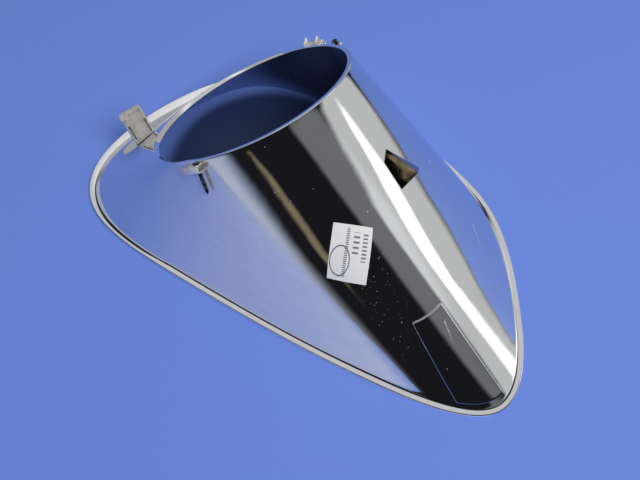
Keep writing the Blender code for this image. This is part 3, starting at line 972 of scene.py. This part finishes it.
def make_tower(finish, wall):
    """The tall clip: a tube of folded strip with a taller back, a slot on each side of its front leaf."""
    sizes = values("cowl_clips")
    half, deep = sizes.tower_width / 2, sizes.tower_depth / 2
    _, share, station = wall.above(*TOWER_AT)
    across = math.sin(TOWER_TURN) * MOUTH_U + math.cos(TOWER_TURN) * MOUTH_V
    stand = placed(on_wall(station, share), across, MOUTH_AXIS.cross(across), MOUTH_AXIS)
    tower = block("tall_clip", (-half, -deep, -TOWER_FOOT), (half, deep, sizes.tower_back))
    round_off(tower, TOWER_BENDS[0], 5)
    strip = sizes.tower_strip
    room = block("room", (-half + strip, -deep + strip, -PAST), (half - strip, deep - strip, TALL))
    round_off(room, TOWER_BENDS[1], 4)
    cut(tower, room)
    behind = deep - strip - TOWER_LIP
    cut(tower, block("step", (-PAST, -PAST, sizes.tower_front), (PAST, behind, TALL)))
    for side in (-1, 1):
        middle, reach = side * (half - 1.7 * strip), sizes.slot_width / 2
        cut(tower, block("slot", (middle - reach, -PAST, SLOT_START),
                         (middle + reach, 0, SLOT_START + sizes.slot_height)))
    under = block("under", (-TALL, -TALL, -TALL), (TALL, TALL, GAP))
    slope = station.line.normalized()
    skin = placed(on_wall(station, share), slope.cross(station.normal), slope, station.normal)
    to_place(under, stand.inverted() @ skin)
    cut(tower, under)
    ease(tower, 0.00015, 2, 40)
    to_place(tower, stand)
    hand_over(tower, "tower_clip", finish)


def wall_sheet(name, rows, columns, spot, low, high, lift=0.0):
    """A sheet that lies on the wall: spot gives station and share for two numbers from 0 to 1."""
    fresh()
    bpy.ops.mesh.primitive_grid_add(x_subdivisions=columns, y_subdivisions=rows, size=1.0)
    sheet = named(name)
    directions = []
    for vertex in sheet.data.vertices:
        a, b = vertex.co.x + 0.5, vertex.co.y + 0.5
        station, share = spot(a, b)
        vertex.co = on_wall(station, share, low + lift * (a * b) ** 2)
        directions.append(station.normal)
    bottom = [v.co.copy() for v in sheet.data.vertices]
    edit_all(sheet)
    bpy.ops.mesh.extrude_region_move(TRANSFORM_OT_translate={"value": (0, 0, 0)})
    fresh()
    raised = len(bottom)
    for vertex in sheet.data.vertices[raised:]:
        nearest = min(range(raised), key=lambda i: (bottom[i] - vertex.co).length_squared)
        vertex.co = bottom[nearest] + (high - low) * directions[nearest]
    return sheet


def between(corners, a, b):
    """The place inside four corners, given as two numbers from 0 to 1."""
    p, q, r, s = (Vector(c) for c in corners)
    return (1 - a) * (1 - b) * p + (1 - a) * b * q + a * b * r + a * (1 - b) * s


def make_plate(finish, wall):
    """The plate on the nose, bent to the wall, with one corner lifted off it a little."""
    corners = [wall.above(x, y)[:2] for x, y in PLATE_PLAN]
    first = corners[0][0]
    corners = [(first + math.remainder(place - first, len(OUTLINE)), share) for place, share in corners]

    def spot(a, b):
        place, share = between(corners, a, b)
        return Station(place), share

    thick = values("cowl_skins").plate_thick
    lift = values("cowl_skins").plate_lift
    plate = wall_sheet("bent_plate", 24, 30, spot, GAP, GAP + thick, lift)
    outward(plate)
    ease(plate, 0.00030, 3, 50)
    hand_over(plate, "nose_plate", finish, 50)


def make_catch(finish, wall):
    """The wedge on the crest: four feet on the wall and one peak, joined by flat faces."""
    sizes = values("cowl_skins")
    points = []
    for x, y in CATCH_PLAN:
        _, share, station = wall.above(x, y)
        points += [on_wall(station, share, GAP), on_wall(station, share, -sizes.catch_foot)]
    _, share, station = wall.above(*CATCH_PEAK)
    points.append(on_wall(station, share, sizes.catch_height))
    catch = blank("fine_catch")
    catch.data.from_pydata(points, [], [])
    edit_all(catch)
    bpy.ops.mesh.convex_hull(join_triangles=False)
    bpy.ops.mesh.dissolve_limited(angle_limit=math.radians(1))
    fresh()
    outward(catch)
    ease(catch, 0.00018, 3, 20)
    hand_over(catch, "side_catch", finish, 30)


def make_label(finish, wall):
    """The paper label, smoothed down on the wall."""
    sizes = values("cowl_skins")
    _, share, station = wall.above(*LABEL_AT)
    middle, normal = on_wall(station, share), station.normal
    down = (UP.dot(normal) * normal - UP).normalized()
    down.rotate(Matrix.Rotation(LABEL_TURN, 3, normal))
    across = normal.cross(down)

    def spot(a, b):
        point = middle + (a - 0.5) * sizes.label_long * down + (b - 0.5) * sizes.label_wide * across
        _, up_line, near = wall.beside(point)
        return near, up_line

    label = wall_sheet("paper_label", 16, 22, spot, GAP, GAP + sizes.label_thick)
    outward(label)
    hand_over(label, "label", finish, 40)


# --- the stage ---------------------------------------------------------------------------------------------

# Soft panels of the studio: middle azimuth and elevation, half width and height, softness (all in degrees),
# colour and power.
# Azimuth is counted from the direction away from the camera, growing to the right.
PANELS = [
    (77, 25, 9, 5, 3.0, (1.0, 0.99, 0.97), 2.4),
    (83, 14, 3, 10, 2.5, (1.0, 0.99, 0.97), 1.6),
    (75, 23, 28, 23, 3.0, (1.0, 1.0, 0.98), 0.56),
    (112, 50, 26, 17, 6.0, (0.98, 0.98, 1.0), 0.16),
    (0, 60, 56, 24, 8.0, (1.0, 1.0, 1.0), 0.60),
    (-6, 18, 42, 25, 6.0, (1.0, 1.0, 1.0), 0.42),
    (-98, 9, 46, 13, 6.0, (0.66, 0.75, 1.0), 0.55),
    (-159, 28, 2.5, 9, 2.0, (1.0, 0.84, 0.50), 0.20),
]


def make_world():
    """A dim room with soft panels round it."""
    world = bpy.data.worlds.new("studio")
    bpy.context.scene.world = world
    world.use_nodes = True
    world.cycles_visibility.diffuse = False
    net = Net(world.node_tree)
    direction = net.add("ShaderNodeTexCoord").outputs["Generated"]
    to_right = net.vector("DOT_PRODUCT", direction, tuple(RIGHT))
    ahead = net.vector("DOT_PRODUCT", direction, tuple(AWAY))
    azimuth = net.math("ARCTAN2", to_right, ahead)
    elevation = net.math("ARCSINE", net.vector("DOT_PRODUCT", direction, tuple(UP)))
    total = net.add("ShaderNodeRGB").outputs[0]
    total.default_value = (*ROOM, 1.0)
    for azimuth_at, elevation_at, wide, high, soft, tint, power in PANELS:
        mask = net.group("studio panel", azimuth=azimuth, elevation=elevation,
                         middle_azimuth=math.radians(azimuth_at), middle_elevation=math.radians(elevation_at),
                         half_width=math.radians(wide), half_height=math.radians(high),
                         softness=math.radians(soft)).outputs[0]
        glow = net.vector("SCALE", tint)
        glow.node.inputs["Scale"].default_value = power
        shown = net.add("ShaderNodeVectorMath", {0: glow, "Scale": mask}, operation="SCALE").outputs["Vector"]
        total = net.vector("ADD", total, shown)
    net.feed(world.node_tree.nodes["Background"].inputs["Color"], total)


def make_stage():
    stage = values("cowl_stage")
    make_world()
    fresh()
    bpy.ops.mesh.primitive_plane_add(size=stage.floor_size)
    floor = named("floor")
    floor.data.materials.append(floor_finish())
    fresh()
    bpy.ops.object.light_add(type="AREA", location=stage.key_away * KEY_FROM,
                             rotation=KEY_FROM.to_track_quat("Z", "Y").to_euler())
    key = named("soft_key")
    key.data.shape, key.data.size = "SQUARE", stage.key_size
    key.data.energy = stage.key_power
    key.visible_glossy = False
    look_back = (CAMERA_AT - CAMERA_AIM).to_track_quat("Z", "Y")
    bpy.ops.object.camera_add(location=CAMERA_AT, rotation=look_back.to_euler())
    camera = named("camera")
    camera.data.lens = CAMERA_LENS
    camera.data.clip_start = 0.01
    bpy.context.scene.camera = camera
    bpy.context.scene.view_settings.view_transform = "Standard"


# --- operators ---------------------------------------------------------------------------------------------

class PieceOperator:
    bl_options = {"REGISTER", "UNDO"}

    def execute(self, context):
        self.build()
        return {"FINISHED"}


class COWL_OT_stage(PieceOperator, bpy.types.Operator):
    """Adds the floor, the light and the camera"""
    bl_idname = "cowl.stage"
    bl_label = "Stage"

    def build(self):
        make_groups()
        make_stage()


class COWL_OT_shell(PieceOperator, bpy.types.Operator):
    """Models the scoop with its flange, rim and lugs"""
    bl_idname = "cowl.shell"
    bl_label = "Shell"

    def build(self):
        wall = Wall()
        marks = [(wall.over(*first), wall.over(*second), width, breaks)
                 for first, second, width, breaks in SHELL_SCRATCHES]
        make_shell(chrome_finish("chrome plate", 0.00035, marks, shell=True))


class COWL_OT_clips(PieceOperator, bpy.types.Operator):
    """Models the tall clip and the two clips folded over the lugs"""
    bl_idname = "cowl.clips"
    bl_label = "Clips"

    def build(self):
        finish = spring_finish()
        make_rim_clip("near_strip", "near_clip", NEAR_LUG, NEAR_SPAN, NEAR_SCREW_ALONG, finish)
        make_rim_clip("far_strip", "far_clip", FAR_LUG, FAR_SPAN, None, finish)
        make_tower(finish, Wall())


class COWL_OT_screws(PieceOperator, bpy.types.Operator):
    """Models the two threaded screws"""
    bl_idname = "cowl.screws"
    bl_label = "Screws"

    def build(self):
        finish = dark_finish()
        make_screw("near_threaded_screw", "near_screw", NEAR_LUG, NEAR_SCREW_ALONG, finish)
        make_screw("far_threaded_screw", "far_screw", SCREW_LUG, 0.0, finish)


class COWL_OT_skins(PieceOperator, bpy.types.Operator):
    """Models the catch, the nose plate and the label, which lie on the wall"""
    bl_idname = "cowl.skins"
    bl_label = "Catch, plate and label"

    def build(self):
        wall = Wall()
        make_catch(catch_finish(), wall)
        top = GAP + values("cowl_skins").plate_thick
        # The plate's lines include painted highlights along two of its edges
        marks = [(wall.over(*first, top), wall.over(*second, top), width, breaks)
                 for first, second, width, breaks in PLATE_SCRATCHES_AND_HIGHLIGHTS]
        make_plate(chrome_finish("chrome nose", 0.00035, marks), wall)
        make_label(paper_finish(), wall)


OPERATORS = (COWL_OT_stage, COWL_OT_shell, COWL_OT_clips, COWL_OT_screws, COWL_OT_skins)


class COWL_PT_panel(bpy.types.Panel):
    """Lists the pieces of the cowl vent"""
    bl_idname = "COWL_PT_panel"
    bl_label = "Cowl Vent"
    bl_space_type = "VIEW_3D"
    bl_region_type = "UI"
    bl_category = "Cowl Vent"

    def draw(self, context):
        for operator in OPERATORS:
            self.layout.operator(operator.bl_idname)
        for group in GROUPS:
            box = self.layout.box()
            for key in GROUPS[group].__annotations__:
                box.prop(getattr(context.scene, group), key)


def register():
    for item in (*GROUPS.values(), *OPERATORS, COWL_PT_panel):
        bpy.utils.register_class(item)
    for name, group in GROUPS.items():
        setattr(bpy.types.Scene, name, bpy.props.PointerProperty(type=group))


def unregister():
    for name in GROUPS:
        delattr(bpy.types.Scene, name)
    for item in reversed((*GROUPS.values(), *OPERATORS, COWL_PT_panel)):
        bpy.utils.unregister_class(item)


def main():
    register()
    bpy.ops.cowl.stage()
    bpy.ops.cowl.shell()
    bpy.ops.cowl.clips()
    bpy.ops.cowl.screws()
    bpy.ops.cowl.skins()


if __name__ == "__main__":
    main()
